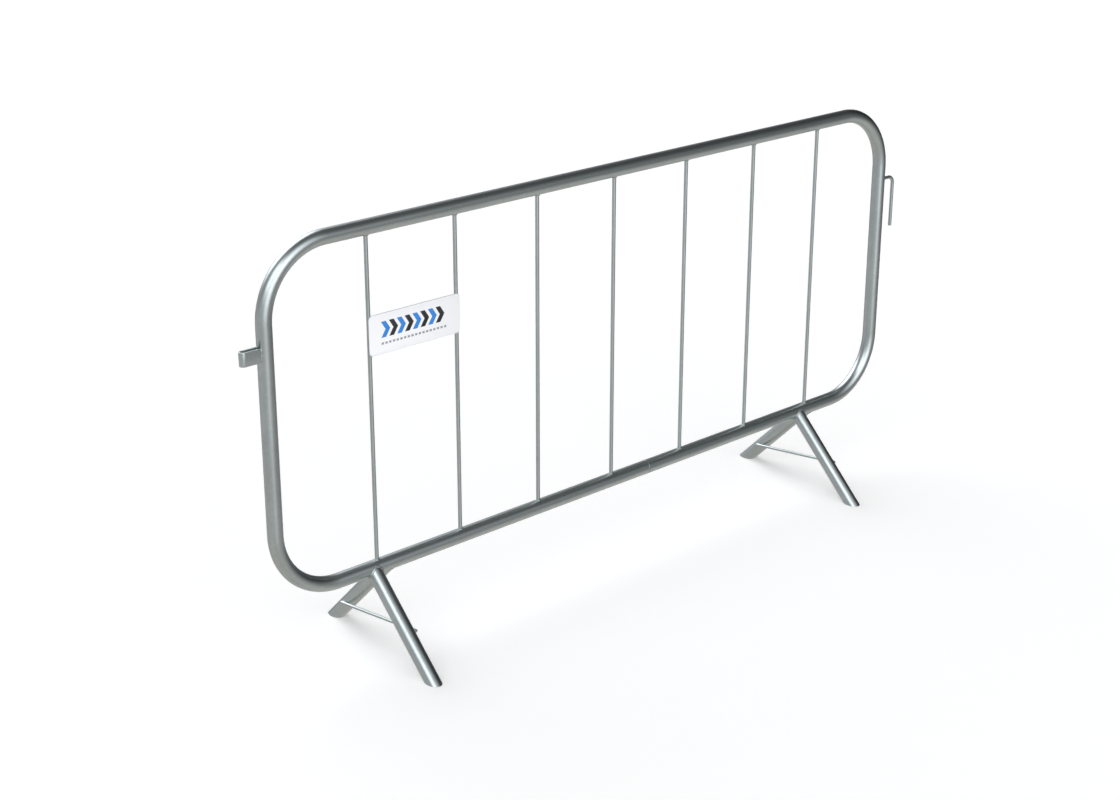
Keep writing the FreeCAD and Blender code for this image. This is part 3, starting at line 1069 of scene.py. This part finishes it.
dress(coupling_loop(), strap_zinc)
dress(weld_piece("loop_beads", "loop_welds", loop_welds()), weld_zinc)
dress(plate_piece("sign_board", "sign_plate", SIGN_CORNER, PLATE_EDGE), plate_zinc)
dress(plate_piece("sign_white_film", "sign_film", FILM_CORNER, FILM_EDGE), film_white)
for piece, material in zip(sign_print(), (ink_blue, ink_black, ink_grey)):
    dress(piece, material)
dress(weld_piece("sign_beads", "sign_welds", sign_welds()), weld_zinc)


# ---------------------------------------------------------------- studio

def towards(azimuth, elevation):
    """A direction from compass-like degrees: azimuth 0 is +Y and 90 is +X."""
    a = math.radians(azimuth)
    e = math.radians(elevation)
    return Vector((math.sin(a) * math.cos(e), math.cos(a) * math.cos(e), math.sin(e)))


def studio_light():
    """A pale room: dim air over a pale floor, with soft boxes and dark walls painted over them."""
    world = bpy.data.worlds.new("studio")
    bpy.context.scene.world = world
    nodes = Nodes(world)
    ray = nodes.add("ShaderNodeTexCoord").outputs["Generated"]
    height = nodes.add("ShaderNodeSeparateXYZ", Vector=ray).outputs["Z"]
    low, high = (math.sin(math.radians(angle)) for angle in FLOOR_EDGE)
    below = nodes.spread(height, low, high, 1.0, 0.0, smooth=True)
    light = nodes.between(below, ROOM_LEVEL, FLOOR_LEVEL)
    for azimuth, elevation, inner, outer, level in LIGHT_PATCHES:
        centre = tuple(towards(azimuth, elevation))
        facing = nodes.add("ShaderNodeVectorMath", {"operation": "DOT_PRODUCT"}, _0=ray, _1=centre)
        angle = nodes.maths("ARCCOSINE", facing.outputs["Value"])
        share = nodes.spread(angle, math.radians(inner), math.radians(outer), 1.0, 0.0, smooth=True)
        light = nodes.between(share, light, level)
    tint = nodes.blend(below, shaded(ROOM_TINT, 1.0), shaded(FLOOR_TINT, 1.0))
    seen = nodes.add("ShaderNodeLightPath").outputs["Is Camera Ray"]
    colour = nodes.blend(seen, tint, WHITE)
    background = nodes.add("ShaderNodeBackground", Color=colour, Strength=nodes.between(seen, light, 1.0))
    nodes.add("ShaderNodeOutputWorld", Surface=background.outputs[0])


def floor():
    """A plain pale floor just below the feet. Metal reflects the room's own level and not this sheet."""
    mesh = bpy.data.meshes.new("floor")
    corners = [(-1, -1), (1, -1), (1, 1), (-1, 1)]
    mesh.from_pydata([(x * FLOOR_HALF, y * FLOOR_HALF, -FLOOR_GAP) for x, y in corners], [], [(0, 1, 2, 3)])
    sheet = bpy.data.objects.new("floor", mesh)
    bpy.context.scene.collection.objects.link(sheet)
    material = bpy.data.materials.new("floor_paper")
    nodes = Nodes(material)
    paper = nodes.add("ShaderNodeBsdfDiffuse", Color=shaded(FLOOR_PAPER, FLOOR_ALBEDO))
    glow = nodes.add("ShaderNodeEmission", Color=WHITE, Strength=FLOOR_GLOW)
    shader = nodes.add("ShaderNodeAddShader", _0=paper.outputs[0], _1=glow.outputs[0])
    nodes.add("ShaderNodeOutputMaterial", Surface=shader.outputs[0])
    mesh.materials.append(material)
    sheet.visible_glossy = False


def camera():
    """A camera at the photograph's viewing angle."""
    data = bpy.data.cameras.new("camera")
    data.sensor_width = SENSOR
    data.lens = LENS
    data.clip_end = 2 * FLOOR_HALF
    viewer = bpy.data.objects.new("camera", data)
    bpy.context.scene.collection.objects.link(viewer)
    azimuth = math.radians(CAMERA_AZIMUTH)
    elevation = math.radians(CAMERA_ELEVATION)
    back = Vector((math.sin(azimuth) * math.cos(elevation), -math.cos(azimuth) * math.cos(elevation),
                   math.sin(elevation)))
    viewer.location = CAMERA_PLACE
    viewer.rotation_mode = "QUATERNION"
    viewer.rotation_quaternion = back.to_track_quat("Z", "Y") @ Quaternion(Z_AXIS, math.radians(CAMERA_ROLL))
    bpy.context.scene.camera = viewer


studio_light()
floor()
camera()
bpy.context.scene.view_settings.view_transform = "Standard"
